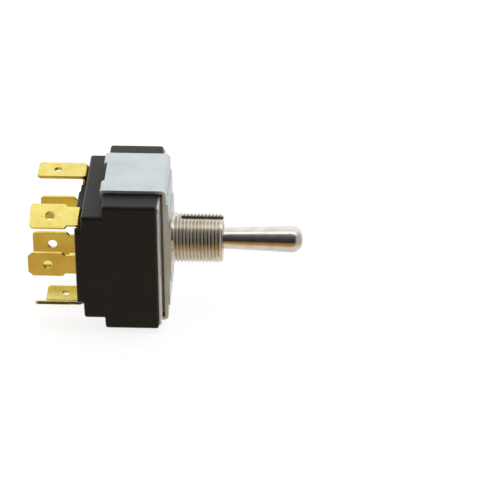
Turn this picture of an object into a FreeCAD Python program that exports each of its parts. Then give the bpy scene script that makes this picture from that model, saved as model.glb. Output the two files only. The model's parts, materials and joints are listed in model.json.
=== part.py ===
import FreeCAD, Part
import os
import re
import sys
from dataclasses import dataclass

import Sketcher
from FreeCAD import Placement, Rotation, Vector

# A three-column panel toggle switch with a bat lever, lying on its lower side.
# +X runs out along the bushing, +Z is the way the lever throws, +Y is the far side.
# The origin is on the bushing's axis, at the face that meets the panel.

SIZES = {
    # moulded case, stepped down towards the terminals
    "case_height": "34.0",
    "case_width": "29.0",
    "case_gap": "2.75",
    "block_length": "12.75",
    "step_length": "4.95",
    "foot_length": "1.6",
    "step_drop": "2.9",
    "foot_margin": "1.5",
    "pad_rise": "0.3",
    "pad_inset": "0.85",
    "case_round": "0.8",
    "foot_round": "1.5",
    "rib_rise": "0.45",
    "rib_width": "6.2",
    # hollow for the moving pieces
    "side_wall": "1.3",
    "end_wall": "2.8",
    "floor_wall": "2.45",
    "hall_gap": "0.6",
    "chamber_side": "0.5",
    "chamber_end": "1.0",
    # grid of the riveted terminals
    "column_pitch": "9.0",
    "row_pitch": "9.0",
    "corner_tilt": "32",
    # plates stacked behind the mounting face
    "frame_sheet": "0.8",
    "arm_margin": "0.55",
    "ear_width": "4.6",
    "ear_drop": "1.0",
    "ear_land": "0.1",
    "land_margin": "0.8",
    "land_inset": "2.9",
    "land_rise": "0.4",
    "boss_stretch": "4.2",
    "boss_rise": "0.4",
    "boss_round": "3.0",
    "frame_bend": "1.2",
    "inner_sheet": "0.6",
    "plate_side_inset": "0.35",
    "plate_end_inset": "0.5",
    "card_inset": "0.15",
    "plate_round": "1.2",
    "plate_bore": "5.0",
    # bushing
    "bushing_radius": "5.953",
    "bushing_length": "12.15",
    "bushing_chamfer": "0.6",
    "seat_step": "0.2",
    "stake_lip": "0.447",
    "stake_gap": "0.1",
    "mouth_radius": "4.0",
    "waist_half": "2.2",
    "ball_gap": "0.1",
    "key_width": "1.9",
    "key_depth": "0.9",
    "key_start": "2.2",
    # lever and its pivot
    "pivot_out": "6.5",
    "ball_radius": "3.25",
    "tail_radius": "2.1",
    "neck_radius": "2.55",
    "bat_radius": "3.2",
    "bat_reach": "19.0",
    "bat_straight": "2.9",
    "bat_nose": "2.7",
    "pin_radius": "0.75",
    "pin_cover": "0.453",
    "pin_gap": "0.05",
    # carrier that the lever swings, and the sprung plungers in it
    "carrier_front": "4.2",
    "carrier_length": "5.2",
    "carrier_gap": "0.6",
    "carrier_height": "6.0",
    "carrier_round": "0.6",
    "socket_depth": "1.8",
    "bore_gap": "0.1",
    "bore_depth": "2.8",
    "plunger_radius": "1.2",
    "collar_radius": "1.6",
    "collar_length": "0.6",
    "collar_inset": "0.2",
    "plunger_gap": "0.12",
    "spring_wire": "0.2",
    "spring_radius": "1.2",
    "spring_turns": "3",
    # rocking contact bars on their fulcrum posts
    "rocker_sheet": "1.0",
    "rocker_width": "4.8",
    "rocker_flat": "2.4",
    "rocker_lift": "0.4",
    "rocker_gap": "0.1",
    "ridge_radius": "0.8",
    "ridge_height": "2.4",
    "post_half": "1.6",
    "cheek_sheet": "0.6",
    "cheek_gap": "0.2",
    "cheek_height": "4.4",
    "button_radius": "1.6",
    "button_height": "0.8",
    "contact_radius": "1.8",
    "contact_gap": "1.65",
    # rivets and links on the chamber floor
    "shank_radius": "1.15",
    "head_radius": "1.9",
    "head_height": "0.7",
    "link_sheet": "0.5",
    "link_width": "3.0",
    "link_margin": "1.9",
    "link_slack": "0.3",
    # blade terminals, bent up from a riveted foot
    "blade_sheet": "0.8",
    "blade_width": "6.35",
    "blade_length": "8.2",
    "blade_corner": "0.6",
    "near_corner": "1.1",
    "neck_width": "4.9",
    "shoulder_slope": "0.6",
    "blade_reach": "3.65",
    "corner_out": "12.15",
    "low_out": "11.7",
    "near_out": "13.0",
    "mid_out": "12.75",
    "far_out": "12.45",
    "foot_tail": "2.4",
    "hole_inset": "4.7",
    "hole_radius": "1.1",
    "slim_hole": "0.9",
    "bend_inner": "0.5",
    "recess_slack": "0.4",
    "ground_out": "15.45",
    "ground_tuck": "4.0",
    "ground_slack": "0.15",
}

PLACES = {
    "block_back": "=-(case_gap + block_length)",
    "step_back": "=block_back - step_length",
    "foot_back": "=step_back - foot_length",
    "case_half": "=case_height / 2",
    "step_half": "=case_half - step_drop",
    "foot_half": "=row_pitch + foot_margin",
    "pad_half": "=case_half + pad_rise",
    "chamber_floor": "=step_back + floor_wall",
    "hall_width": "=case_width - 2 * side_wall",
    "hall_height": "=case_height - 2 * end_wall",
    "hall_back": "=carrier_back - hall_gap",
    "chamber_half_width": "=cheek_inner + cheek_sheet + chamber_side",
    "chamber_half_height": "=rocker_half + chamber_end",
    "seat_radius": "=bushing_radius + seat_step",
    "stake_radius": "=bushing_radius + stake_lip",
    "boss_width": "=2 * (stake_radius + stake_gap + frame_sheet)",
    "boss_height": "=boss_width + boss_stretch",
    "land_width": "=boss_width + 2 * land_margin",
    "land_height": "=case_height - 2 * land_inset",
    "arm_width": "=land_width + 2 * arm_margin",
    "pad_width": "=arm_width - 2 * pad_inset",
    "ear_bend": "=frame_sheet - ear_land",
    "frame_back": "=-(land_rise + boss_rise + frame_sheet)",
    "arm_half": "=pad_half + frame_sheet",
    "inner_width": "=case_width - 2 * plate_side_inset",
    "inner_height": "=case_height - 2 * plate_end_inset",
    "card_width": "=arm_width - 2 * card_inset",
    "card_back": "=inner_sheet - case_gap",
    "card_sheet": "=frame_back - card_back",
    "waist_radius": "=ball_radius + ball_gap",
    "lever_tip": "=bushing_length + bat_reach",
    "pin_length": "=2 * (bushing_radius - pin_cover)",
    "carrier_back": "=-(carrier_front + carrier_length)",
    "carrier_width": "=hall_width - 2 * carrier_gap",
    "bore_radius": "=collar_radius + bore_gap",
    "bore_end": "=carrier_back + bore_depth",
    "socket_end": "=-(carrier_front + socket_depth)",
    "ridge_axis": "=chamber_floor + ridge_height",
    "rocker_under": "=ridge_axis + ridge_radius + rocker_gap",
    "rocker_top": "=rocker_under + rocker_sheet",
    "button_under": "=rocker_under - button_height",
    "contact_top": "=button_under - contact_gap",
    "link_top": "=chamber_floor + link_sheet",
    "plunger_tip": "=rocker_top + plunger_gap",
    "collar_back": "=carrier_back + collar_inset",
    "collar_top": "=collar_back + collar_length",
    "cheek_inner": "=rocker_width / 2 + cheek_gap",
    "rocker_half": "=row_pitch + button_radius",
    "foot_rear": "=step_back - blade_sheet",
    "blade_outer": "=blade_reach + blade_sheet / 2",
    "blade_inner": "=blade_reach - blade_sheet / 2",
    "corner_tip": "=step_back - corner_out",
    "low_tip": "=step_back - low_out",
    "near_tip": "=step_back - near_out",
    "mid_tip": "=step_back - mid_out",
    "far_tip": "=step_back - far_out",
    "bend_shoulder": "=foot_rear - shoulder_slope / 2",
    "ground_tip": "=block_back - ground_out",
    "ground_end": "=block_back + ground_tuck",
    "recess_half": "=neck_width / 2 + recess_slack",
}


@dataclass(frozen=True)
class Blade:
    """A riveted terminal: its place on the grid, its turn about X, and what its blade is like."""

    column: str
    row: str
    turn: str
    tip: str
    shoulder: str = ""
    corner: str = "blade_corner"
    hole: str = "hole_radius"


BLADES = {
    "far_top_terminal": Blade(
        "column_pitch", "row_pitch", "0", "corner_tip", shoulder="bend_shoulder", hole="slim_hole"
    ),
    "far_bottom_terminal": Blade("column_pitch", "-row_pitch", "180", "corner_tip"),
    "far_centre_terminal": Blade("column_pitch", "0", "-90", "far_tip"),
    "mid_centre_terminal": Blade("0", "0", "90", "mid_tip"),
    "near_centre_terminal": Blade("-column_pitch", "0", "90", "near_tip", corner="near_corner"),
    "near_top_terminal": Blade("-column_pitch", "row_pitch", "corner_tilt", "corner_tip"),
    "near_bottom_terminal": Blade("-column_pitch", "-row_pitch", "180 - corner_tilt", "low_tip"),
}
COLUMNS = {"near": "-column_pitch", "mid": "0", "far": "column_pitch"}

doc = FreeCAD.newDocument("panel_toggle_switch")
sheet = doc.addObject("Spreadsheet::Sheet", "sizes")
nodes = []


def fill_sheet():
    """Write each size, and each place worked out from them, to an aliased cell."""
    for row, (alias, value) in enumerate({**SIZES, **PLACES}.items(), start=1):
        sheet.set(f"A{row}", alias)
        sheet.setAlias(f"B{row}", alias)
        sheet.set(f"B{row}", value)
    doc.recompute()


def cells(expression):
    """Point the size names in an expression at their cells."""
    return re.sub(r"[a-z][a-z_]+", lambda word: prefixed(word.group()), expression)


def prefixed(word):
    return f"sizes.{word}" if word in SIZES or word in PLACES else word


def bind(thing, path, expression):
    thing.setExpression(path, cells(expression))


def keep(thing, label):
    """Name a finished sub-part and list it for export."""
    thing.Label = label
    nodes.append(thing)
    return thing


# Sketches and features of a body


def new_body(label):
    return keep(doc.addObject("PartDesign::Body", label), label)


def new_sketch(body, role, offset="0"):
    """A sketch on one of the body's own planes, moved along its normal."""
    sketch = body.newObject("Sketcher::SketchObject", "outline")
    plane = next(f for f in body.Origin.OriginFeatures if f.Role == role)
    sketch.AttachmentSupport = [(plane, "")]
    sketch.MapMode = "FlatFace"
    bind(sketch, "AttachmentOffset.Base.z", offset)
    return sketch


def fix_point(sketch, geometry, vertex, across, up):
    """Hold a point at its distances from the sketch's origin."""
    for kind, distance in (("DistanceX", across), ("DistanceY", up)):
        index = sketch.addConstraint(Sketcher.Constraint(kind, -1, 1, geometry, vertex, 1.0))
        bind(sketch, f"Constraints[{index}]", distance)


def add_loop(sketch, points):
    """A closed outline of straight lines through the points."""
    first = sketch.GeometryCount
    count = len(points)
    for index in range(count):
        start = Vector(index, index * index, 0)
        end = Vector(index + 1, (index + 1) ** 2, 0)
        sketch.addGeometry(Part.LineSegment(start, end), False)
    for index in range(count):
        after = first + (index + 1) % count
        sketch.addConstraint(Sketcher.Constraint("Coincident", first + index, 2, after, 1))
    for index, (across, up) in enumerate(points):
        fix_point(sketch, first + index, 1, across, up)


def add_box(sketch, left, right, low, high):
    add_loop(sketch, [(left, low), (right, low), (right, high), (left, high)])


def add_centred(sketch, width, height):
    half_width = f"({width}) / 2"
    half_height = f"({height}) / 2"
    add_box(sketch, f"-{half_width}", half_width, f"-{half_height}", half_height)


def add_circle(sketch, across, up, radius):
    circle = Part.Circle(Vector(1, 1, 0), Vector(0, 0, 1), 1)
    index = sketch.addGeometry(circle, False)
    rule = sketch.addConstraint(Sketcher.Constraint("Radius", index, 1.0))
    bind(sketch, f"Constraints[{rule}]", radius)
    fix_point(sketch, index, 3, across, up)


def feature(body, kind, sketch, length, side="One side", reverse=False):
    """A Pad or a Pocket of a sketch."""
    made = body.newObject(f"PartDesign::{kind}", kind.lower())
    made.Profile = (sketch, [""])
    made.SideType = side
    made.Reversed = reverse
    bind(made, "Length", length)
    return made


def pad(body, sketch, length, side="One side"):
    return feature(body, "Pad", sketch, length, side)


def pocket(body, sketch, length, side="One side", reverse=False):
    """Cut a sketch out of the body, and make sure that it cut something."""
    doc.recompute()
    before = body.Shape.Volume
    made = feature(body, "Pocket", sketch, length, side, reverse)
    doc.recompute()
    if body.Shape.Volume > before - 0.01:
        sys.exit(f"{body.Label}: a pocket cut nothing")
    return made


def revolve(body, sketch):
    """Turn a half section round the X axis."""
    made = body.newObject("PartDesign::Revolution", "turned")
    made.Profile = (sketch, [""])
    made.ReferenceAxis = (sketch, ["H_Axis"])
    made.Angle = 360
    return made


def size(alias):
    """The number that a cell of the sheet holds."""
    return float(sheet.get(alias))


def soften(body, kind, radius, wanted):
    """Fillet or chamfer the edges that a test on their middle and direction picks."""
    doc.recompute()
    picked = [
        f"Edge{index}"
        for index, edge in enumerate(body.Shape.Edges, start=1)
        if wanted(edge)
    ]
    if not picked:
        sys.exit(f"{body.Label}: no edge to {kind.lower()}")
    base = body.Tip
    made = body.newObject(f"PartDesign::{kind}", kind.lower())
    made.Base = (base, picked)
    bind(made, "Radius" if kind == "Fillet" else "Size", radius)
    doc.recompute()
    return made


def middle(edge):
    return edge.valueAt((edge.FirstParameter + edge.LastParameter) / 2)


def near(left, right):
    return abs(left - right) < 0.01


def runs_along(edge, axis):
    if not isinstance(edge.Curve, Part.Line):
        return False
    return abs(getattr(edge.Curve.Direction, axis)) > 0.999


# Primitives


def block(name, low, high):
    """A box between two corners, given as expressions."""
    made = doc.addObject("Part::Box", name)
    for axis, side, start, end in zip("xyz", ("Length", "Width", "Height"), low, high):
        bind(made, f"Placement.Base.{axis}", start)
        bind(made, side, f"({end}) - ({start})")
    return made


def rod(name, start, end, across, up, radius):
    """A cylinder along X between two places."""
    made = doc.addObject("Part::Cylinder", name)
    made.Placement = Placement(Vector(), Rotation(Vector(0, 1, 0), 90))
    bind(made, "Radius", radius)
    bind(made, "Height", f"({end}) - ({start})")
    bind(made, "Placement.Base.x", start)
    bind(made, "Placement.Base.y", across)
    bind(made, "Placement.Base.z", up)
    return made


def cross_rod(name, along, across, up, radius, length):
    """A cylinder along Y, centred on a place."""
    made = doc.addObject("Part::Cylinder", name)
    made.Placement = Placement(Vector(), Rotation(Vector(1, 0, 0), -90))
    bind(made, "Radius", radius)
    bind(made, "Height", length)
    bind(made, "Placement.Base.x", along)
    bind(made, "Placement.Base.y", f"({across}) - ({length}) / 2")
    bind(made, "Placement.Base.z", up)
    return made


def ball(name, along, across, up, radius):
    made = doc.addObject("Part::Sphere", name)
    bind(made, "Radius", radius)
    bind(made, "Placement.Base.x", along)
    bind(made, "Placement.Base.y", across)
    bind(made, "Placement.Base.z", up)
    return made


def fuse(name, pieces):
    made = doc.addObject("Part::MultiFuse", name)
    made.Shapes = pieces
    made.Refine = True
    return made


def cut(name, base, tool):
    made = doc.addObject("Part::Cut", name)
    made.Base = base
    made.Tool = tool
    return made


# The moulded case


def build_case():
    """Stepped case with a hollow for the moving pieces and a recess for each terminal."""
    body = new_body("case")
    section = new_sketch(body, "YZ_Plane", "block_back")
    wide = "case_width / 2"
    pad_wide = "pad_width / 2"
    quarter = [(wide, "case_half"), (pad_wide, "case_half"), (pad_wide, "pad_half")]
    upper = quarter + [(f"-{y}", z) for y, z in reversed(quarter)]
    lower = [(f"-{y}", f"-{z}") for y, z in quarter] + [(y, f"-{z}") for y, z in reversed(quarter)]
    add_loop(section, upper + lower)
    pad(body, section, "block_length")
    step = new_sketch(body, "YZ_Plane", "step_back")
    add_centred(step, "case_width", "2 * step_half")
    pad(body, step, "step_length")
    foot = new_sketch(body, "YZ_Plane", "foot_back")
    add_centred(foot, "case_width", "2 * foot_half")
    pad(body, foot, "foot_length")
    side = size("case_width") / 2
    rear = size("step_back")
    soften(
        body, "Fillet", "case_round",
        lambda e: runs_along(e, "x") and near(abs(middle(e).y), side) and middle(e).x > rear,
    )
    soften(
        body, "Fillet", "foot_round",
        lambda e: runs_along(e, "x") and near(abs(middle(e).y), side) and middle(e).x < rear,
    )
    ribs = new_sketch(body, "YZ_Plane", "foot_back - rib_rise")
    rib_foot = "row_pitch - recess_half"
    add_box(ribs, "-rib_width / 2", "rib_width / 2", rib_foot, "foot_half")
    add_box(ribs, "-rib_width / 2", "rib_width / 2", "-foot_half", f"-({rib_foot})")
    pad(body, ribs, "rib_rise")
    hollow_case(body)
    for blade in BLADES.values():
        cut_recess(body, blade)
    tuck = new_sketch(body, "YZ_Plane", "block_back")
    half = "blade_width / 2 + ground_slack"
    add_box(tuck, f"-({half})", half, "-(pad_half + 1)", "-(pad_half - blade_sheet)")
    pocket(body, tuck, "ground_tuck + ground_slack", reverse=True)


def hollow_case(body):
    """The hall for the carrier, a chamber for each rocker, and the holes in its floor."""
    hall = new_sketch(body, "YZ_Plane", "-case_gap")
    add_centred(hall, "hall_width", "hall_height")
    pocket(body, hall, "-(case_gap + hall_back)")
    chambers = new_sketch(body, "YZ_Plane", "-case_gap")
    half = "chamber_half_width"
    tall = "chamber_half_height"
    for column in COLUMNS.values():
        add_box(chambers, f"{column} - {half}", f"{column} + {half}", f"-{tall}", tall)
    pocket(body, chambers, "-(case_gap + chamber_floor)")
    holes = new_sketch(body, "YZ_Plane", "chamber_floor + 1")
    for column in COLUMNS.values():
        add_circle(holes, column, "0", "shank_radius")
    for column in ("-column_pitch", "column_pitch"):
        for row in ("-row_pitch", "row_pitch"):
            add_circle(holes, column, row, "shank_radius")
    pocket(body, holes, "chamber_floor + 2 - foot_back")
    slots = new_sketch(body, "YZ_Plane", "link_top + link_slack")
    half = "link_width / 2 + link_slack"
    for row in ("-row_pitch", "row_pitch"):
        add_box(slots, "-column_pitch", "0", f"{row} - ({half})", f"{row} + {half}")
    pocket(body, slots, "link_sheet + link_slack")


def cut_recess(body, blade):
    """A recess for a terminal's foot, open at the foot's edge for the terminals in the corners."""
    sketch = new_sketch(body, "YZ_Plane", "foot_back - rib_rise")
    sketch.AttachmentOffset = Placement(Vector(), Rotation(Vector(0, 0, 1), 1))
    bind(sketch, "AttachmentOffset.Base.x", blade.column)
    bind(sketch, "AttachmentOffset.Base.y", blade.row)
    bind(sketch, "AttachmentOffset.Base.z", "foot_back - rib_rise")
    bind(sketch, "AttachmentOffset.Rotation.Angle", blade.turn)
    outer = "blade_outer + recess_slack" if blade.row == "0" else "case_width / 2"
    add_box(sketch, "-recess_half", "recess_half", "-(foot_tail + recess_slack)", outer)
    pocket(body, sketch, "foot_length + rib_rise", reverse=True)


# The steel frame and the plates behind it


def build_frame():
    """Sheet strap round the case's front, with ears folded over the case's step."""
    body = new_body("frame")
    strap = new_sketch(body, "XZ_Plane")
    front = "frame_back + frame_sheet"
    upper = [(front, "arm_half"), ("block_back", "arm_half")]
    upper += [("block_back", "pad_half"), ("frame_back", "pad_half")]
    lower = [(x, f"-{z}") for x, z in reversed(upper)]
    add_loop(strap, upper + lower)
    pad(body, strap, "arm_width", "Symmetric")
    outer = size("frame_back") + size("frame_sheet")
    high = size("arm_half")
    soften(
        body, "Fillet", "frame_bend",
        lambda e: runs_along(e, "y") and near(middle(e).x, outer) and near(abs(middle(e).z), high),
    )
    ears = new_sketch(body, "YZ_Plane", "block_back - frame_sheet")
    for side in ("", "-"):
        for end in ("", "-"):
            add_box(
                ears, f"{side}(arm_width / 2 - ear_width)", f"{side}(arm_width / 2)",
                f"{end}(case_half - ear_drop)", f"{end}arm_half",
            )
    pad(body, ears, "frame_sheet")
    rear = size("block_back") - size("frame_sheet")
    soften(
        body, "Fillet", "ear_bend",
        lambda e: runs_along(e, "y") and near(middle(e).x, rear) and near(abs(middle(e).z), high),
    )
    land = new_sketch(body, "YZ_Plane", front)
    add_centred(land, "land_width", "land_height")
    pad(body, land, "land_rise")
    boss = new_sketch(body, "YZ_Plane", f"{front} + land_rise")
    add_centred(boss, "boss_width", "boss_height")
    pad(body, boss, "boss_rise")
    wide = size("boss_width") / 2
    soften(
        body, "Fillet", "boss_round",
        lambda e: runs_along(e, "x") and near(abs(middle(e).y), wide) and middle(e).x > outer,
    )
    under_land = new_sketch(body, "YZ_Plane", "frame_back")
    add_centred(under_land, "land_width - 2 * frame_sheet", "land_height - 2 * frame_sheet")
    pocket(body, under_land, "land_rise", reverse=True)
    under_boss = new_sketch(body, "YZ_Plane", "frame_back + land_rise")
    add_centred(under_boss, "boss_width - 2 * frame_sheet", "boss_height - 2 * frame_sheet")
    pocket(body, under_boss, "boss_rise", reverse=True)
    bore = new_sketch(body, "YZ_Plane", "1")
    add_circle(bore, "0", "0", "seat_radius")
    pocket(body, bore, "1 - frame_back")


def build_plate(label, back, sheet_size, width, height):
    """Flat plate with rounded corners and a hole that the lever swings in."""
    body = new_body(label)
    outline = new_sketch(body, "YZ_Plane", back)
    add_centred(outline, width, height)
    add_circle(outline, "0", "0", "plate_bore")
    pad(body, outline, sheet_size)
    soften(body, "Fillet", "plate_round", lambda e: runs_along(e, "x"))


# The bushing, the lever and the pin


def build_bushing():
    """Barrel with a keyway and an hourglass bore, pressed into the frame from behind as far as its lip."""
    body = new_body("bushing")
    section = new_sketch(body, "XZ_Plane")
    add_loop(section, [
        ("frame_back", "mouth_radius"), ("frame_back", "stake_radius"),
        ("-frame_sheet", "stake_radius"), ("-frame_sheet", "seat_radius"),
        ("0", "seat_radius"), ("0", "bushing_radius"),
        ("bushing_length - bushing_chamfer", "bushing_radius"),
        ("bushing_length", "bushing_radius - bushing_chamfer"),
        ("bushing_length", "mouth_radius"),
        ("pivot_out + waist_half", "waist_radius"),
        ("pivot_out - waist_half", "waist_radius"),
    ])
    revolve(body, section)
    key = new_sketch(body, "XY_Plane", "bushing_radius - key_depth")
    add_box(key, "key_start", "bushing_length + 1", "-key_width / 2", "key_width / 2")
    pocket(body, key, "key_depth + 1", reverse=True)
    hole = new_sketch(body, "XZ_Plane")
    add_circle(hole, "pivot_out", "0", "pin_radius")
    pocket(body, hole, "pin_length", "Symmetric")


def build_lever():
    """Bat lever with its pivot ball and the tail that drives the carrier."""
    body = new_body("lever")
    section = new_sketch(body, "XZ_Plane")
    add_loop(section, [
        ("socket_end", "0"), ("socket_end", "tail_radius"),
        ("pivot_out", "tail_radius"), ("pivot_out", "neck_radius"),
        ("bushing_length + bushing_chamfer", "neck_radius"),
        ("lever_tip - bat_straight", "bat_radius"),
        ("lever_tip", "bat_radius"), ("lever_tip", "0"),
    ])
    revolve(body, section)
    doc.recompute()
    tip = size("lever_tip")
    soften(body, "Fillet", "bat_nose", lambda e: near(middle(e).x, tip))
    knob = body.newObject("PartDesign::AdditiveSphere", "knob")
    bind(knob, "Radius", "ball_radius")
    bind(knob, "Placement.Base.x", "pivot_out")
    doc.recompute()
    hole = new_sketch(body, "XZ_Plane")
    add_circle(hole, "pivot_out", "0", "pin_radius + pin_gap")
    pocket(body, hole, "4 * ball_radius", "Symmetric")


# The carrier, and the plungers and springs in it


def build_carrier():
    """Moulded bar on the lever's tail, with a bore for each plunger."""
    body = new_body("carrier")
    section = new_sketch(body, "YZ_Plane", "carrier_back")
    add_centred(section, "carrier_width", "carrier_height")
    pad(body, section, "carrier_length")
    soften(body, "Fillet", "carrier_round", lambda e: runs_along(e, "x"))
    bores = new_sketch(body, "YZ_Plane", "carrier_back")
    for column in COLUMNS.values():
        add_circle(bores, column, "0", "bore_radius")
    pocket(body, bores, "bore_depth", reverse=True)
    socket = new_sketch(body, "YZ_Plane", "-carrier_front")
    add_circle(socket, "0", "0", "tail_radius")
    pocket(body, socket, "socket_depth")


def build_plunger(side, column):
    """Round-nosed plunger with a collar that its spring pushes."""
    shaft = rod(f"{side}_shaft", "plunger_tip + plunger_radius", "collar_top", column, "0", "plunger_radius")
    nose = ball(f"{side}_nose", "plunger_tip + plunger_radius", column, "0", "plunger_radius")
    collar = rod(f"{side}_collar", "collar_back", "collar_top", column, "0", "collar_radius")
    keep(fuse(f"{side}_plunger", [shaft, nose, collar]), f"{side}_plunger")


def build_spring(side, column):
    """Coil of six-sided wire between the plunger's collar and the end of its bore."""
    wire = size("spring_wire")
    start = size("collar_top") + wire
    length = size("bore_end") - wire - start
    radius = size("spring_radius")
    helix = Part.makeHelix(length / size("spring_turns"), length, radius)
    ring = [Rotation(Vector(0, 1, 0), 60 * turn).multVec(Vector(wire, 0, 0)) for turn in range(7)]
    section = Part.makePolygon([point + Vector(radius, 0, 0) for point in ring])
    coil = Part.Wire(helix.Edges).makePipeShell([section], True, True)
    made = keep(doc.addObject("Part::Feature", f"{side}_spring"), f"{side}_spring")
    made.Shape = coil
    made.Placement = Placement(Vector(start, 0, 0), Rotation(Vector(0, 1, 0), 90))
    bind(made, "Placement.Base.y", column)


# The rocking contacts and what they rock on


def build_rocker(side, column):
    """Shallow V bar with a contact button under each end."""
    body = new_body(f"{side}_rocker")
    bind(body, "Placement.Base.y", column)
    section = new_sketch(body, "XZ_Plane")
    half = [
        ("rocker_under + rocker_lift", "rocker_half"), ("rocker_top + rocker_lift", "rocker_half"),
        ("rocker_top", "rocker_flat"),
    ]
    mirrored = [(x, f"-{z}") for x, z in reversed(half)]
    add_loop(section, half + mirrored + [("rocker_under", "-rocker_flat"), ("rocker_under", "rocker_flat")])
    pad(body, section, "rocker_width", "Symmetric")
    buttons = new_sketch(body, "YZ_Plane", "button_under")
    add_circle(buttons, "0", "row_pitch", "button_radius")
    add_circle(buttons, "0", "-row_pitch", "button_radius")
    pad(body, buttons, "button_height + rocker_sheet / 2")


def build_fulcrum(side, column):
    """Post with a rounded ridge, cheeks beside the rocker, and a riveted shank."""
    cheek_outer = "cheek_inner + cheek_sheet"
    pieces = [
        block(
            f"{side}_post", ("chamber_floor", f"{column} - ({cheek_outer})", "-post_half"),
            ("ridge_axis", f"{column} + {cheek_outer}", "post_half"),
        ),
        cross_rod(f"{side}_ridge", "ridge_axis", column, "0", "ridge_radius", "rocker_width"),
        block(
            f"{side}_near_cheek", ("chamber_floor", f"{column} - ({cheek_outer})", "-post_half"),
            ("chamber_floor + cheek_height", f"{column} - cheek_inner", "post_half"),
        ),
        block(
            f"{side}_far_cheek", ("chamber_floor", f"{column} + cheek_inner", "-post_half"),
            ("chamber_floor + cheek_height", f"{column} + {cheek_outer}", "post_half"),
        ),
        rod(f"{side}_shank", "foot_rear - head_height / 2", "ridge_axis", column, "0", "shank_radius"),
        rod(f"{side}_head", "foot_rear - head_height", "foot_rear", column, "0", "head_radius"),
    ]
    keep(fuse(f"{side}_fulcrum", pieces), f"{side}_fulcrum")


def build_end_rivets():
    """The four contact rivets of the outer columns, as one group."""
    rivets = []
    head_back = "foot_rear - head_height"
    head_middle = "foot_rear - head_height / 2"
    for side, seat in (("near", "link_top"), ("far", "chamber_floor")):
        for end, row in (("top", "row_pitch"), ("bottom", "-row_pitch")):
            name = f"{side}_{end}_rivet"
            column = COLUMNS[side]
            rivets.append(fuse(name, [
                rod(f"{name}_head", head_back, "foot_rear", column, row, "head_radius"),
                rod(f"{name}_shank", head_middle, "contact_top", column, row, "shank_radius"),
                rod(f"{name}_contact", seat, "contact_top", column, row, "contact_radius"),
            ]))
    group = doc.addObject("Part::Compound", "end_rivets")
    group.Links = rivets
    keep(group, "end_rivets")


def build_link(end, row):
    """Strip that joins the middle column's contact to the near column's rivet."""
    strip = block(
        f"{end}_strip", ("chamber_floor", "-(column_pitch + link_margin)", f"{row} - link_width / 2"),
        ("link_top", "link_margin", f"{row} + link_width / 2"),
    )
    hole = rod(f"{end}_link_hole", "chamber_floor - 1", "link_top + 1", "-column_pitch", row, "shank_radius")
    drilled = cut(f"{end}_drilled", strip, hole)
    button = rod(f"{end}_link_contact", "chamber_floor", "contact_top", "0", row, "contact_radius")
    keep(fuse(f"{end}_link", [drilled, button]), f"{end}_link")


# Blade terminals


def cut_blade(body, tip, shoulder, root, corner, hole):
    """Cut a wide strip's sides to a blade with shoulders, corners and a hole."""
    outline = new_sketch(body, "XY_Plane", "-(case_half + 5)")
    beyond = "blade_width / 2 + 2"
    for side in ("", "-"):
        add_loop(outline, [
            (f"{tip} - 1", f"{side}({beyond})"),
            (f"{tip} - 1", f"{side}(blade_width / 2 - {corner} - 1)"),
            (f"{tip} + {corner}", f"{side}(blade_width / 2)"),
            (shoulder, f"{side}(blade_width / 2)"),
            (f"{shoulder} + shoulder_slope", f"{side}(neck_width / 2)"),
            (f"{root} + 1", f"{side}(neck_width / 2)"),
            (f"{root} + 1", f"{side}({beyond})"),
        ])
    add_circle(outline, f"{tip} + hole_inset", "0", hole)
    pocket(body, outline, "2 * case_half + 10", reverse=True)


def build_terminal(label, blade):
    """Blade bent up at a right angle from a foot that is riveted to the case."""
    body = new_body(label)
    body.Placement = Placement(Vector(), Rotation(Vector(1, 0, 0), 1))
    bind(body, "Placement.Base.y", blade.column)
    bind(body, "Placement.Base.z", blade.row)
    bind(body, "Placement.Rotation.Angle", blade.turn)
    section = new_sketch(body, "XZ_Plane")
    add_loop(section, [
        ("step_back", "-foot_tail"), ("step_back", "blade_outer"), (blade.tip, "blade_outer"),
        (blade.tip, "blade_inner"), ("foot_rear", "blade_inner"), ("foot_rear", "-foot_tail"),
    ])
    pad(body, section, "blade_width + 2", "Symmetric")
    inside, outside = ("foot_rear", "blade_inner"), ("step_back", "blade_outer")
    soften(body, "Fillet", "bend_inner", lambda e: is_bend(body, e, *inside))
    soften(body, "Fillet", "bend_inner + blade_sheet", lambda e: is_bend(body, e, *outside))
    shoulder = blade.shoulder or f"{blade.tip} + blade_length"
    cut_blade(body, blade.tip, shoulder, "step_back", blade.corner, blade.hole)
    hole = new_sketch(body, "YZ_Plane", "step_back + 1")
    add_circle(hole, "0", "0", "shank_radius")
    pocket(body, hole, "blade_sheet + 2")


def is_bend(body, edge, along, reach):
    """Whether an edge of a placed body is the one at a place in the body's own frame."""
    local = body.Placement.inverse().multVec(middle(edge))
    return near(local.x, size(along)) and near(local.z, size(reach)) and near(local.y, 0)


def build_ground_terminal():
    """Flat blade tucked between the frame's lower arm and the case."""
    body = new_body("ground_terminal")
    section = new_sketch(body, "XZ_Plane")
    add_box(section, "ground_tip", "ground_end", "-pad_half", "blade_sheet - pad_half")
    pad(body, section, "blade_width + 2", "Symmetric")
    cut_blade(body, "ground_tip", "ground_tip + blade_length", "ground_end", "blade_corner", "slim_hole")


def build_all():
    build_case()
    build_frame()
    build_plate("inner_plate", "-case_gap", "inner_sheet", "inner_width", "inner_height")
    build_plate("insulator_card", "card_back", "card_sheet", "card_width", "inner_height")
    build_bushing()
    build_lever()
    keep(cross_rod("pivot_pin", "pivot_out", "0", "0", "pin_radius", "pin_length"), "pivot_pin")
    build_carrier()
    for side, column in COLUMNS.items():
        build_plunger(side, column)
        build_spring(side, column)
        build_rocker(side, column)
        build_fulcrum(side, column)
    build_end_rivets()
    build_link("top", "row_pitch")
    build_link("bottom", "-row_pitch")
    for label, blade in BLADES.items():
        build_terminal(label, blade)
    build_ground_terminal()


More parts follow.
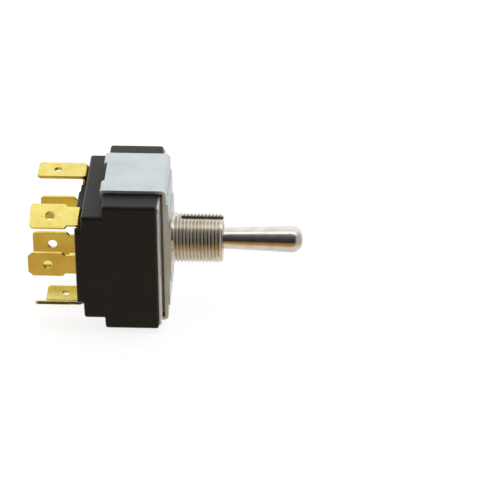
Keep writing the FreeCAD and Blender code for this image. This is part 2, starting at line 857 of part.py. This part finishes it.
def check_and_export():
    """Stop on a failed object or a bad shape, then write each node's STEP file."""
    doc.recompute()
    failed = [o.Label for o in doc.Objects if {"Invalid", "Error"} & set(o.State)]
    for node in nodes:
        if node.Shape.isNull() or not node.Shape.isValid() or not node.Shape.Solids:
            failed.append(node.Label)
    if failed:
        sys.exit(f"failed: {failed}")
    os.makedirs("parts", exist_ok=True)
    for node in nodes:
        node.Shape.exportStep(f"parts/{node.Label}.step")
        box = node.Shape.BoundBox
        print(f"{node.Label}: {len(node.Shape.Solids)} solid, {node.Shape.Volume:.1f} mm3, "
              f"x {box.XMin:.2f} to {box.XMax:.2f}, z {box.ZMin:.2f} to {box.ZMax:.2f}")


fill_sheet()
build_all()
check_and_export()
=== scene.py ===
"""Looks of a panel toggle switch.

Its finishes, its threaded bushing, its softened edges, and the studio round it.
"""

import json
import logging
import math
from dataclasses import dataclass, field
from enum import Enum

import bmesh
import bpy
from mathutils import Matrix, Vector

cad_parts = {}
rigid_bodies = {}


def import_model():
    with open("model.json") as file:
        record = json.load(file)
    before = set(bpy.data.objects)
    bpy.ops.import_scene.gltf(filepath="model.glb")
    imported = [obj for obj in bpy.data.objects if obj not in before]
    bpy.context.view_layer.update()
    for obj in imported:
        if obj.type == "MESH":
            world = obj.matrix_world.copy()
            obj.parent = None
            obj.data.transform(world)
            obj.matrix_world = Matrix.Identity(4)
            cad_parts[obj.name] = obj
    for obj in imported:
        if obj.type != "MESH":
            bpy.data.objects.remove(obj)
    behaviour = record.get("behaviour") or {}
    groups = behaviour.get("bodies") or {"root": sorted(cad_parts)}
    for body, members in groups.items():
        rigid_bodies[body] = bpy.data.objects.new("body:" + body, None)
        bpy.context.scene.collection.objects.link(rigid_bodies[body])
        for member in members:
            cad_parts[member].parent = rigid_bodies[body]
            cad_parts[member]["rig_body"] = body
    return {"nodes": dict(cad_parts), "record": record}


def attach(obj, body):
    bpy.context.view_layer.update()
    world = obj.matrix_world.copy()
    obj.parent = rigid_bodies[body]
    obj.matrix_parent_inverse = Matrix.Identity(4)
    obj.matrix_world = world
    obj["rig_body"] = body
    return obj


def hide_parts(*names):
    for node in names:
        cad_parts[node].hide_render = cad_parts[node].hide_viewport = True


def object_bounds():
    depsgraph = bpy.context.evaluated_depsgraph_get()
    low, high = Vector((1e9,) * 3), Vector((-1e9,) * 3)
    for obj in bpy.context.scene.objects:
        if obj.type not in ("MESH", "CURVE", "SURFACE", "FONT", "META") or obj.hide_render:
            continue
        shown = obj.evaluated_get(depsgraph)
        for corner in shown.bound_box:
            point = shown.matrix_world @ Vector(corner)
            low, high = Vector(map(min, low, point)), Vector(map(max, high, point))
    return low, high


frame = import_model()
CAD_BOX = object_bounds()

LOG = logging.getLogger("toggle_switch")
Colour = tuple[float, float, float]
Span = tuple[float, float]

MM = 0.001
HALF_TURN = 180.0
WHITE = (1.0, 1.0, 1.0, 1.0)
NOISE_MIDDLE = (0.3, 0.7)
NEW_STOP = 0.5

SCREEN_WHITE = 255
SCREEN_KNEE = 10.3
SCREEN_SLOPE = 12.92
SCREEN_LIFT = 0.055
SCREEN_POWER = 2.4


class Drawn(Enum):
    """Which way a finish was drawn out: the stretch of its noise along each axis."""

    EVEN = (1.0, 1.0, 1.0)
    ROLLED = (1.0, 0.08, 0.08)
    TURNED = (1.0, 0.03, 0.03)
    PRESSED = (1.0, 0.4, 0.15)


@dataclass(frozen=True)
class Grain:
    """How fine a noise is: waves to the millimetre, octaves of finer noise, and its stretch."""

    per_mm: float
    detail: float
    drawn: Drawn = Drawn.EVEN


def linear(red: float, green: float, blue: float) -> Colour:
    """Turn a screen colour of 0 to 255 into the linear colour that a shader reads.

    Args:
        red: Red of the screen colour.
        green: Green of the screen colour.
        blue: Blue of the screen colour.

    Returns:
        The linear colour.
    """
    return tuple(
        (c / SCREEN_WHITE / SCREEN_SLOPE) if c <= SCREEN_KNEE
        else ((c / SCREEN_WHITE + SCREEN_LIFT) / (1 + SCREEN_LIFT)) ** SCREEN_POWER
        for c in (red, green, blue)
    )


class Nodes:
    """A short hand for one node tree."""

    def __init__(self, tree: bpy.types.NodeTree) -> None:
        """Empty the tree."""
        self.tree = tree
        self.tree.nodes.clear()

    def new(self, kind: str) -> bpy.types.Node:
        """Add a node."""
        return self.tree.nodes.new(kind)

    def link(self, start: bpy.types.NodeSocket, end: bpy.types.NodeSocket) -> None:
        """Join two sockets."""
        self.tree.links.new(start, end)

    def ramp(
        self, fac: bpy.types.NodeSocket, stops: list[tuple[float, Colour]]
    ) -> bpy.types.NodeSocket:
        """Colours along a value.

        Args:
            fac: The value.
            stops: Places and colours, in order.

        Returns:
            The colour socket.
        """
        ramp = self.new("ShaderNodeValToRGB")
        elements = ramp.color_ramp.elements
        while len(elements) < len(stops):
            elements.new(NEW_STOP)
        for element, (place, colour) in zip(elements, stops):
            element.position = place
            element.color = (*colour, 1)
        self.link(fac, ramp.inputs["Fac"])
        return ramp.outputs["Color"]

    def spread(
        self, value: bpy.types.NodeSocket, before: Span, after: Span = (0.0, 1.0)
    ) -> bpy.types.NodeSocket:
        """Spread a value over another span, and hold it there.

        Args:
            value: The value.
            before: The span that it covers now.
            after: The span that it is to cover.

        Returns:
            The spread value's socket.
        """
        spread = self.new("ShaderNodeMapRange")
        spread.inputs["From Min"].default_value = before[0]
        spread.inputs["From Max"].default_value = before[1]
        spread.inputs["To Min"].default_value = after[0]
        spread.inputs["To Max"].default_value = after[1]
        self.link(value, spread.inputs["Value"])
        return spread.outputs["Result"]

    def reckon(
        self, operation: str, first: bpy.types.NodeSocket, second: bpy.types.NodeSocket | None = None
    ) -> bpy.types.NodeSocket:
        """Reckon with one value or two.

        Args:
            operation: Name of the operation.
            first: The first value.
            second: The second value, if the operation takes one.

        Returns:
            The result's socket.
        """
        step = self.new("ShaderNodeMath")
        step.operation = operation
        self.link(first, step.inputs[0])
        if second is not None:
            self.link(second, step.inputs[1])
        return step.outputs["Value"]


class MaterialNodes(Nodes):
    """The node tree of one material, whose patterns lie on Object coordinates."""

    def __init__(self, name: str) -> None:
        """Start a material with an output only.

        Args:
            name: The material's name.
        """
        self.material = bpy.data.materials.new(name)
        self.material.use_nodes = True
        super().__init__(self.material.node_tree)
        self.output = self.new("ShaderNodeOutputMaterial")
        self.place = self.new("ShaderNodeTexCoord").outputs["Object"]

    def noise(self, grain: Grain) -> bpy.types.NodeSocket:
        """Cloudy noise of a given grain.

        Args:
            grain: The noise's fineness and stretch.

        Returns:
            The noise's value socket.
        """
        mapping = self.new("ShaderNodeMapping")
        mapping.inputs["Scale"].default_value = grain.drawn.value
        self.link(self.place, mapping.inputs["Vector"])
        noise = self.new("ShaderNodeTexNoise")
        noise.inputs["Scale"].default_value = grain.per_mm / MM
        noise.inputs["Detail"].default_value = grain.detail
        self.link(mapping.outputs["Vector"], noise.inputs["Vector"])
        return noise.outputs["Fac"]

    def bump(self, height: bpy.types.NodeSocket, depth_mm: float) -> bpy.types.NodeSocket:
        """A bump of a given depth.

        Args:
            height: The height, 0 to 1.
            depth_mm: What a height of 1 stands for.

        Returns:
            The normal socket.
        """
        bump = self.new("ShaderNodeBump")
        bump.inputs["Distance"].default_value = depth_mm * MM
        bump.inputs["Strength"].default_value = 1.0
        self.link(height, bump.inputs["Height"])
        return bump.outputs["Normal"]

    def surface(self, metallic: float, gloss: float = 0.5) -> bpy.types.Node:
        """The main shader, joined to the output.

        Args:
            metallic: How metallic the surface is, 0 to 1.
            gloss: The shader's specular level.

        Returns:
            The shader's node.
        """
        shader = self.new("ShaderNodeBsdfPrincipled")
        shader.inputs["Metallic"].default_value = metallic
        shader.inputs["Specular IOR Level"].default_value = gloss
        self.link(shader.outputs["BSDF"], self.output.inputs["Surface"])
        return shader

    def clouded(
        self, shader: bpy.types.Node, cloud: bpy.types.NodeSocket, low: Colour, high: Colour, turn: Span
    ) -> None:
        """Give a shader a colour that drifts between two.

        Args:
            shader: The shader.
            cloud: The noise that the colour follows.
            low: The colour where the noise is low.
            high: The colour where the noise is high.
            turn: Where along the noise the colour turns.
        """
        colour = self.ramp(cloud, [(turn[0], low), (turn[1], high)])
        self.link(colour, shader.inputs["Base Color"])

    def worked(
        self, shader: bpy.types.Node, wear: bpy.types.NodeSocket, rough: Span, normal: bpy.types.NodeSocket
    ) -> None:
        """Give a shader its roughness and its bump.

        Args:
            shader: The shader.
            wear: The noise that the roughness follows.
            rough: The least and the most roughness.
            normal: The bump's normal.
        """
        self.link(self.spread(wear, NOISE_MIDDLE, rough), shader.inputs["Roughness"])
        self.link(normal, shader.inputs["Normal"])


@dataclass(frozen=True)
class MouldedPlastic:
    """Moulded thermoset, with a fine spark-eroded grain, faint clouding and a breath of dust."""

    name: str
    colour: Colour
    pale: Colour
    gloss: float = 0.14
    rough: Span = (0.3, 0.42)
    dust: float = 0.3
    turn: Span = (0.3, 0.75)
    cloud: Grain = Grain(0.25, 4.0)
    grain: Grain = Grain(6.0, 2.0)
    grain_mm: float = 0.012

    def material(self) -> bpy.types.Material:
        """Build the finish.

        Returns:
            The material.
        """
        nodes = MaterialNodes(self.name)
        shader = nodes.surface(0.0, self.gloss)
        shader.inputs["Sheen Weight"].default_value = self.dust
        grain = nodes.noise(self.grain)
        nodes.clouded(shader, nodes.noise(self.cloud), self.colour, self.pale, self.turn)
        nodes.worked(shader, grain, self.rough, nodes.bump(grain, self.grain_mm))
        return nodes.material


@dataclass(frozen=True)
class PlatedSheet:
    """Rolled sheet with a bright zinc plate, slightly brushed and clouded."""

    name: str
    colour: Colour
    dull: Colour
    metallic: float = 0.65
    rough: Span = (0.26, 0.4)
    turn: Span = (0.3, 0.65)
    cloud: Grain = Grain(0.18, 5.0)
    rolled: Grain = Grain(3.0, 3.0, Drawn.ROLLED)
    grain_mm: float = 0.003

    def material(self) -> bpy.types.Material:
        """Build the finish.

        Returns:
            The material.
        """
        nodes = MaterialNodes(self.name)
        shader = nodes.surface(self.metallic)
        cloud = nodes.noise(self.cloud)
        nodes.clouded(shader, cloud, self.dull, self.colour, self.turn)
        nodes.worked(shader, cloud, self.rough, nodes.bump(nodes.noise(self.rolled), self.grain_mm))
        return nodes.material


@dataclass(frozen=True)
class NickelPlate:
    """Bright nickel over turned metal, with fine turning lines round the X axis."""

    name: str
    colour: Colour
    warm: Colour
    rough: Span = (0.1, 0.18)
    turn: Span = (0.35, 0.65)
    cloud: Grain = Grain(0.4, 4.0)
    lines: Grain = Grain(4.0, 3.0, Drawn.TURNED)
    line_mm: float = 0.003

    def material(self) -> bpy.types.Material:
        """Build the finish.

        Returns:
            The material.
        """
        nodes = MaterialNodes(self.name)
        shader = nodes.surface(1.0)
        cloud = nodes.noise(self.cloud)
        nodes.clouded(shader, cloud, self.warm, self.colour, self.turn)
        nodes.worked(shader, cloud, self.rough, nodes.bump(nodes.noise(self.lines), self.line_mm))
        return nodes.material


@dataclass(frozen=True)
class StampedBrass:
    """Half-hard brass strip with a matte grain and slight tarnish."""

    name: str
    colour: Colour
    tarnish: Colour
    rough: Span = (0.2, 0.36)
    turn: Span = (0.3, 0.6)
    cloud: Grain = Grain(0.35, 5.0)
    grain: Grain = Grain(5.0, 3.0)
    grain_mm: float = 0.012

    def material(self) -> bpy.types.Material:
        """Build the finish.

        Returns:
            The material.
        """
        nodes = MaterialNodes(self.name)
        shader = nodes.surface(1.0)
        grain = nodes.noise(self.grain)
        nodes.clouded(shader, nodes.noise(self.cloud), self.tarnish, self.colour, self.turn)
        nodes.worked(shader, grain, self.rough, nodes.bump(grain, self.grain_mm))
        return nodes.material


@dataclass(frozen=True)
class FibreCard:
    """Pressed fibre sheet with short strands lying in its plane."""

    name: str
    colour: Colour
    strand: Colour
    rough: Span = (0.55, 0.8)
    turn: Span = (0.35, 0.7)
    strands: Grain = Grain(2.5, 5.0, Drawn.PRESSED)
    strand_mm: float = 0.015

    def material(self) -> bpy.types.Material:
        """Build the finish.

        Returns:
            The material.
        """
        nodes = MaterialNodes(self.name)
        shader = nodes.surface(0.0)
        strands = nodes.noise(self.strands)
        nodes.clouded(shader, strands, self.colour, self.strand, self.turn)
        nodes.worked(shader, strands, self.rough, nodes.bump(strands, self.strand_mm))
        return nodes.material


FINISHES = {
    "case_moulding": MouldedPlastic("case_moulding", linear(30, 29, 29), linear(37, 36, 36)),
    "carrier_moulding": MouldedPlastic("carrier_moulding", linear(214, 205, 182), linear(226, 219, 200)),
    "plunger_moulding": MouldedPlastic("plunger_moulding", linear(228, 224, 212), linear(236, 233, 224)),
    "frame_zinc": PlatedSheet("frame_zinc", linear(222, 232, 236), linear(206, 218, 222), 0.4),
    "strip_steel": PlatedSheet("strip_steel", linear(232, 238, 242), linear(218, 225, 230), 0.5),
    "rocker_silver": PlatedSheet("rocker_silver", linear(226, 222, 214), linear(200, 196, 186)),
    "spring_steel": NickelPlate("spring_steel", linear(182, 182, 184), linear(160, 160, 160)),
    "pin_steel": NickelPlate("pin_steel", linear(190, 188, 184), linear(170, 168, 164)),
    "bushing_nickel": NickelPlate("bushing_nickel", linear(222, 216, 204), linear(208, 198, 182)),
    "lever_nickel": NickelPlate("lever_nickel", linear(230, 225, 220), linear(218, 211, 203)),
    "terminal_brass": StampedBrass("terminal_brass", linear(236, 222, 132), linear(228, 204, 104)),
    "rivet_brass": StampedBrass("rivet_brass", linear(222, 192, 112), linear(198, 160, 82)),
    "card_fibre": FibreCard("card_fibre", linear(140, 118, 88), linear(166, 146, 116)),
}


@dataclass
class Workshop:
    """Modelling steps that the sub-assemblies share."""

    merge_mm: float = 0.002
    level_mm: float = 0.01
    flat: float = math.radians(0.5)
    sharp: float = math.radians(40)
    edge_steps: int = 2
    rim_steps: int = 3

    def __post_init__(self) -> None:
        """Build each finish once, and note which one each node has."""
        self.finishes = {slot: finish.material() for slot, finish in FINISHES.items()}
        self.slots = {s["node"]: s["material_slot"] for s in frame["record"]["subparts"]}

    def alone(self, piece: bpy.types.Object) -> None:
        """Select one object only, and make it active.

        Args:
            piece: The object.
        """
        bpy.ops.object.select_all(action="DESELECT")
        piece.select_set(True)
        bpy.context.view_layer.objects.active = piece

    def dress(self, piece: bpy.types.Object, slot: str) -> None:
        """Give a piece one finish."""
        piece.data.materials.clear()
        piece.data.materials.append(self.finishes[slot])

    def copy_of(self, node: str, name: str) -> bpy.types.Object:
        """A copy of a node's mesh with its loose triangles joined into flat faces.

        Args:
            node: The node to copy.
            name: The copy's name.

        Returns:
            The copy, which rides on nothing yet.
        """
        source = frame["nodes"][node]
        piece = bpy.data.objects.new(name, source.data.copy())
        bpy.context.scene.collection.objects.link(piece)
        self.alone(piece)
        bpy.ops.object.mode_set(mode="EDIT")
        bpy.ops.mesh.select_all(action="SELECT")
        bpy.ops.mesh.remove_doubles(threshold=self.merge_mm * MM)
        bpy.ops.mesh.dissolve_limited(angle_limit=self.flat, delimit=set())
        bpy.ops.object.mode_set(mode="OBJECT")
        return piece

    def soften(self, piece: bpy.types.Object, width_mm: float) -> None:
        """Round a piece's sharp edges a little, and shade it smoothly.

        Args:
            piece: The piece.
            width_mm: How far the rounding reaches from each edge.
        """
        self.alone(piece)
        bevel = piece.modifiers.new("edge", "BEVEL")
        bevel.width = width_mm * MM
        bevel.segments = self.edge_steps
        bevel.limit_method = "ANGLE"
        bevel.angle_limit = self.sharp
        bevel.use_clamp_overlap = True
        bpy.ops.object.modifier_apply(modifier=bevel.name)
        self.smooth(piece)

    def round_rims(
        self, piece: bpy.types.Object, width_mm: float, least_mm: float, side_mm: float
    ) -> None:
        """Round a piece's convex rims that face along the X axis.

        Args:
            piece: The piece.
            width_mm: How far the rounding reaches from each edge.
            least_mm: The shortest edge along the Y axis that is rounded.
            side_mm: How far out along the Y axis every rim is rounded.
        """
        mesh = bmesh.new()
        mesh.from_mesh(piece.data)
        weight = mesh.edges.layers.float.new("bevel_weight_edge")
        for edge in mesh.edges:
            sharp = edge.is_manifold and edge.is_convex and edge.calc_face_angle() > self.sharp
            run = edge.verts[1].co - edge.verts[0].co
            rim = abs(run.x) < self.level_mm * MM
            outer = min(abs(vertex.co.y) for vertex in edge.verts) > side_mm * MM
            edge[weight] = float(sharp and rim and (outer or abs(run.y) > least_mm * MM))
        mesh.to_mesh(piece.data)
        mesh.free()
        self.alone(piece)
        bevel = piece.modifiers.new("rims", "BEVEL")
        bevel.width = width_mm * MM
        bevel.segments = self.rim_steps
        bevel.limit_method = "WEIGHT"
        bevel.use_clamp_overlap = False
        bpy.ops.object.modifier_apply(modifier=bevel.name)

    def smooth(self, piece: bpy.types.Object, degrees: float = 35.0) -> None:
        """Shade a piece smoothly across its shallow edges, with its large faces kept flat.

        Args:
            piece: The piece.
            degrees: The angle past which an edge stays sharp.
        """
        self.alone(piece)
        bpy.ops.object.shade_smooth_by_angle(angle=math.radians(degrees))
        even = piece.modifiers.new("even", "WEIGHTED_NORMAL")
        even.keep_sharp = True
        bpy.ops.object.modifier_apply(modifier=even.name)

    def finish_edges(self, node: str, width_mm: float) -> None:
        """Let a softened copy of a node, in its finish, stand for it.

        Args:
            node: The node.
            width_mm: How far the rounding reaches from each edge.
        """
        piece = self.copy_of(node, f"{node}_finished")
        self.soften(piece, width_mm)
        self.stand_in(piece, node)

    def stand_in(self, piece: bpy.types.Object, node: str) -> None:
        """Let a piece stand for a node, on the same body and with the same finish.

        Args:
            piece: The piece.
            node: The node.
        """
        body = frame["nodes"][node]["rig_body"]
        self.dress(piece, self.slots[node])
        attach(piece, body)
        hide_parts(node)
        LOG.info("%s stands for %s on %s, %d faces", piece.name, node, body, len(piece.data.polygons))

    def cut(self, piece: bpy.types.Object, tool: bpy.types.Object) -> None:
        """Cut a closed tool's space out of a piece, and remove the tool.

        Args:
            piece: The piece.
            tool: The closed tool.
        """
        self.alone(piece)
        step = piece.modifiers.new("cut", "BOOLEAN")
        step.operation = "DIFFERENCE"
        step.object = tool
        step.solver = "EXACT"
        bpy.ops.object.modifier_apply(modifier=step.name)
        bpy.data.objects.remove(tool, do_unlink=True)

    def draw(self, name: str, corners: list[tuple[float, float]]) -> bpy.types.Object:
        """Draw a closed outline in the plane of the X and Z axes.

        Args:
            name: The outline's name.
            corners: Places along X and Z, in millimetres.

        Returns:
            The outline, edges only.
        """
        places = [Vector((along, 0.0, up)) * MM for along, up in corners]
        bpy.ops.object.select_all(action="DESELECT")
        bpy.ops.mesh.primitive_plane_add(size=MM)
        outline = bpy.context.active_object
        outline.name = name
        bpy.ops.object.mode_set(mode="EDIT")
        bpy.ops.mesh.select_all(action="SELECT")
        bpy.ops.mesh.merge(type="CENTER")
        bpy.ops.transform.translate(value=places[0])
        for before, after in zip(places, places[1:]):
            bpy.ops.mesh.extrude_region_move(TRANSFORM_OT_translate={"value": after - before})
        bpy.ops.mesh.select_all(action="SELECT")
        bpy.ops.mesh.edge_face_add()
        bpy.ops.mesh.delete(type="ONLY_FACE")
        bpy.ops.object.mode_set(mode="OBJECT")
        return outline


@dataclass
class MouldedCase:
    """The stepped black case."""

    shop: Workshop
    corner: float = 0.6
    long_edge: float = 4.0
    side: float = 13.6
    edge: float = 0.12

    def build(self) -> None:
        """Round the blocks' rims, soften the rest and dress the case."""
        case = self.shop.copy_of("case", "case_finished")
        self.shop.round_rims(case, self.corner, self.long_edge, self.side)
        self.shop.soften(case, self.edge)
        self.shop.stand_in(case, "case")


@dataclass
class FoldedFrame:
    """The plated frame, and the plate and the card behind it."""

    shop: Workshop
    edge: float = 0.3
    plate_edge: float = 0.26

    def build(self) -> None:
        """Soften and dress the sheets."""
        self.shop.finish_edges("frame", self.edge)
        self.shop.finish_edges("inner_plate", self.plate_edge)
        self.shop.finish_edges("insulator_card", self.plate_edge)


@dataclass
class TerminalSet:
    """The blades, with the fulcrums and rivets that hold them."""

    shop: Workshop
    blade_edge: float = 0.16
    rivet_edge: float = 0.22

    def build(self) -> None:
        """Soften and dress each blade, fulcrum and rivet."""
        for node in sorted(frame["nodes"]):
            if node.endswith("_terminal"):
                self.shop.finish_edges(node, self.blade_edge)
            elif node.endswith("_fulcrum") or node == "end_rivets":
                self.shop.finish_edges(node, self.rivet_edge)


@dataclass
class ThreadedBushing:
    """The bushing with its thread, cut into the plain barrel by one long helical groove."""

    shop: Workshop
    radius: float = 5.953
    pitch: float = 0.85
    depth: float = 0.48
    crest: float = 0.12
    proud: float = 0.06
    start: float = 0.75
    turns: int = 15
    steps: int = 64
    end_corners: int = 4
    smooth_below: float = 30.0

    def build(self) -> None:
        """Thread the barrel and dress it."""
        barrel = self.shop.copy_of("bushing", "bushing_threaded")
        self.shop.cut(barrel, self.groove())
        self.shop.smooth(barrel, self.smooth_below)
        self.shop.stand_in(barrel, "bushing")

    def groove(self) -> bpy.types.Object:
        """The groove as a closed helical wedge that reaches past the barrel's free end.

        Returns:
            The wedge.
        """
        half = (self.pitch - self.crest) / 2
        outer = self.radius + self.proud
        tool = self.shop.draw("groove", [
            (self.start - half, outer), (self.start + half, outer), (self.start, self.radius - self.depth),
        ])
        self.shop.alone(tool)
        turned = tool.modifiers.new("turned", "SCREW")
        turned.axis = "X"
        turned.screw_offset = self.pitch * MM
        turned.iterations = self.turns
        turned.steps = self.steps
        turned.render_steps = self.steps
        bpy.ops.object.modifier_apply(modifier=turned.name)
        bpy.ops.object.mode_set(mode="EDIT")
        bpy.ops.mesh.select_mode(type="EDGE")
        bpy.ops.mesh.select_all(action="DESELECT")
        bpy.ops.mesh.select_non_manifold()
        bpy.ops.mesh.fill_holes(sides=self.end_corners)
        bpy.ops.mesh.select_all(action="SELECT")
        bpy.ops.mesh.normals_make_consistent(inside=False)
        bpy.ops.object.mode_set(mode="OBJECT")
        return tool


@dataclass
class Lever:
    """The bat lever, polished smooth along its length."""

    shop: Workshop

    def build(self) -> None:
        """Smooth the turned faces and dress them."""
        piece = self.shop.copy_of("lever", "lever_polished")
        self.shop.smooth(piece)
        self.shop.stand_in(piece, "lever")


@dataclass
class Mechanism:
    """The moving contacts and the pieces that drive them, whose shape is right as it is."""

    shop: Workshop

    def build(self) -> None:
        """Dress each node that no piece stands for."""
        for name, node in frame["nodes"].items():
            if not node.hide_render:
                self.shop.dress(node, self.shop.slots[name])
                LOG.info("%s keeps its shape", name)


@dataclass
class Camera:
    """The photograph's view: a long lens looking a third of the way down on the switch."""

    target: Vector = field(default_factory=lambda: Vector((18.48, 0.0, -3.27)) * MM)
    distance: float = 0.680
    pitch: float = math.radians(32.67)
    yaw: float = math.radians(-2.50)
    roll: float = math.radians(-0.33)
    lens: float = 204.09
    sensor: float = 36.0
    near: float = 0.01
    far: float = 10.0

    def build(self) -> None:
        """Place the camera and make it the scene's own."""
        forward = Vector((
            math.sin(self.yaw) * math.cos(self.pitch),
            math.cos(self.yaw) * math.cos(self.pitch),
            -math.sin(self.pitch),
        ))
        right = Vector((math.cos(self.yaw), -math.sin(self.yaw), 0.0))
        up = right.cross(forward)
        level = math.cos(self.roll) * right + math.sin(self.roll) * up
        over = -math.sin(self.roll) * right + math.cos(self.roll) * up
        data = bpy.data.cameras.new("camera")
        data.lens = self.lens
        data.sensor_width = self.sensor
        data.clip_start = self.near
        data.clip_end = self.far
        camera = bpy.data.objects.new("camera", data)
        bpy.context.scene.collection.objects.link(camera)
        turn = Matrix((level, over, -forward)).transposed()
        camera.matrix_world = Matrix.Translation(self.target - self.distance * forward) @ turn.to_4x4()
        bpy.context.scene.camera = camera


@dataclass
class Studio:
    """A pale table in a light tent, white overhead and behind, with a dark opening in front."""

    bands: tuple[tuple[float, Colour], ...] = (
        (-180.0, (1.05, 1.03, 1.00)),
        (-120.0, (0.86, 0.84, 0.81)),
        (-60.0, (0.78, 0.75, 0.70)),
        (-44.0, (0.76, 0.70, 0.60)),
        (-38.0, (0.70, 0.54, 0.32)),
        (-32.0, (0.60, 0.37, 0.12)),
        (-24.0, (0.50, 0.29, 0.09)),
        (-8.0, (0.30, 0.17, 0.06)),
        (-1.0, (0.10, 0.06, 0.03)),
        (4.0, (0.025, 0.025, 0.03)),
        (30.0, (0.06, 0.055, 0.06)),
        (55.0, (0.13, 0.115, 0.12)),
        (74.0, (0.34, 0.31, 0.30)),
        (85.0, (1.55, 1.55, 1.55)),
        (99.0, (1.4, 1.4, 1.4)),
        (110.0, (0.85, 0.83, 0.79)),
        (128.0, (1.10, 1.10, 1.09)),
        (165.0, (1.12, 1.11, 1.09)),
        (180.0, (1.05, 1.03, 1.00)),
    )
    side_light: Colour = (0.50, 0.49, 0.47)
    side_edges: Span = (0.6, 0.9)
    table_size: float = 6.0
    table_gap_mm: float = 0.05
    table_white: float = 0.9
    table_share: float = 0.35
    table_glow: float = 1.3

    def build(self) -> None:
        """Make the surroundings and the table."""
        scene = bpy.context.scene
        scene.view_settings.view_transform = "Standard"
        self.make_world(scene)
        self.make_table()

    def make_world(self, scene: bpy.types.Scene) -> None:
        """Light round the switch, and plain white where the camera looks past it.

        Args:
            scene: The scene that gets the world.
        """
        world = bpy.data.worlds.new("surround")
        scene.world = world
        world.use_nodes = True
        nodes = Nodes(world.node_tree)
        lit = nodes.new("ShaderNodeBackground")
        nodes.link(self.light(nodes), lit.inputs["Color"])
        seen = nodes.new("ShaderNodeBackground")
        seen.inputs["Color"].default_value = WHITE
        path = nodes.new("ShaderNodeLightPath")
        mix = nodes.new("ShaderNodeMixShader")
        nodes.link(path.outputs["Is Camera Ray"], mix.inputs["Fac"])
        nodes.link(lit.outputs["Background"], mix.inputs[1])
        nodes.link(seen.outputs["Background"], mix.inputs[2])
        output = nodes.new("ShaderNodeOutputWorld")
        nodes.link(mix.outputs["Shader"], output.inputs["Surface"])

    def light(self, nodes: Nodes) -> bpy.types.NodeSocket:
        """Bands of light round the X axis, which give way to the side light along it.

        Args:
            nodes: The world's node tree.

        Returns:
            The colour socket.
        """
        place = nodes.new("ShaderNodeTexCoord")
        parts = nodes.new("ShaderNodeSeparateXYZ")
        nodes.link(place.outputs["Generated"], parts.inputs["Vector"])
        front = nodes.reckon("MULTIPLY", parts.outputs["Y"])
        front.node.inputs[1].default_value = -1.0
        angle = nodes.reckon("ARCTAN2", parts.outputs["Z"], front)
        stops = [((degrees + HALF_TURN) / (2 * HALF_TURN), colour) for degrees, colour in self.bands]
        bands = nodes.ramp(nodes.spread(angle, (-math.pi, math.pi)), stops)
        across = nodes.reckon("ABSOLUTE", parts.outputs["X"])
        blend = nodes.new("ShaderNodeMix")
        blend.data_type = "RGBA"
        bands_in, side_in = (s for s in blend.inputs if s.type == "RGBA")
        side_in.default_value = (*self.side_light, 1)
        nodes.link(nodes.spread(across, self.side_edges), blend.inputs["Factor"])
        nodes.link(bands, bands_in)
        return next(s for s in blend.outputs if s.type == "RGBA")

    def make_table(self) -> None:
        """A pale table just under the switch, which keeps a soft shadow."""
        low = CAD_BOX[0].z
        bpy.ops.object.select_all(action="DESELECT")
        bpy.ops.mesh.primitive_plane_add(size=self.table_size, location=(0, 0, low - self.table_gap_mm * MM))
        table = bpy.context.active_object
        table.name = "table"
        table.visible_glossy = False
        table.visible_diffuse = False
        nodes = MaterialNodes("table_top")
        matte = nodes.new("ShaderNodeBsdfDiffuse")
        glow = nodes.new("ShaderNodeEmission")
        mix = nodes.new("ShaderNodeMixShader")
        matte.inputs["Color"].default_value = (self.table_white,) * 3 + (1,)
        glow.inputs["Strength"].default_value = self.table_glow
        mix.inputs["Fac"].default_value = 1.0 - self.table_share
        nodes.link(matte.outputs["BSDF"], mix.inputs[1])
        nodes.link(glow.outputs["Emission"], mix.inputs[2])
        nodes.link(mix.outputs["Shader"], nodes.output.inputs["Surface"])
        table.data.materials.append(nodes.material)


def main() -> None:
    """Build the camera, the studio and each sub-assembly in order."""
    logging.basicConfig(level=logging.INFO, format="%(message)s")
    Camera().build()
    Studio().build()
    shop = Workshop()
    for part in (MouldedCase, FoldedFrame, TerminalSet, ThreadedBushing, Lever, Mechanism):
        part(shop).build()


if __name__ == "__main__":
    main()
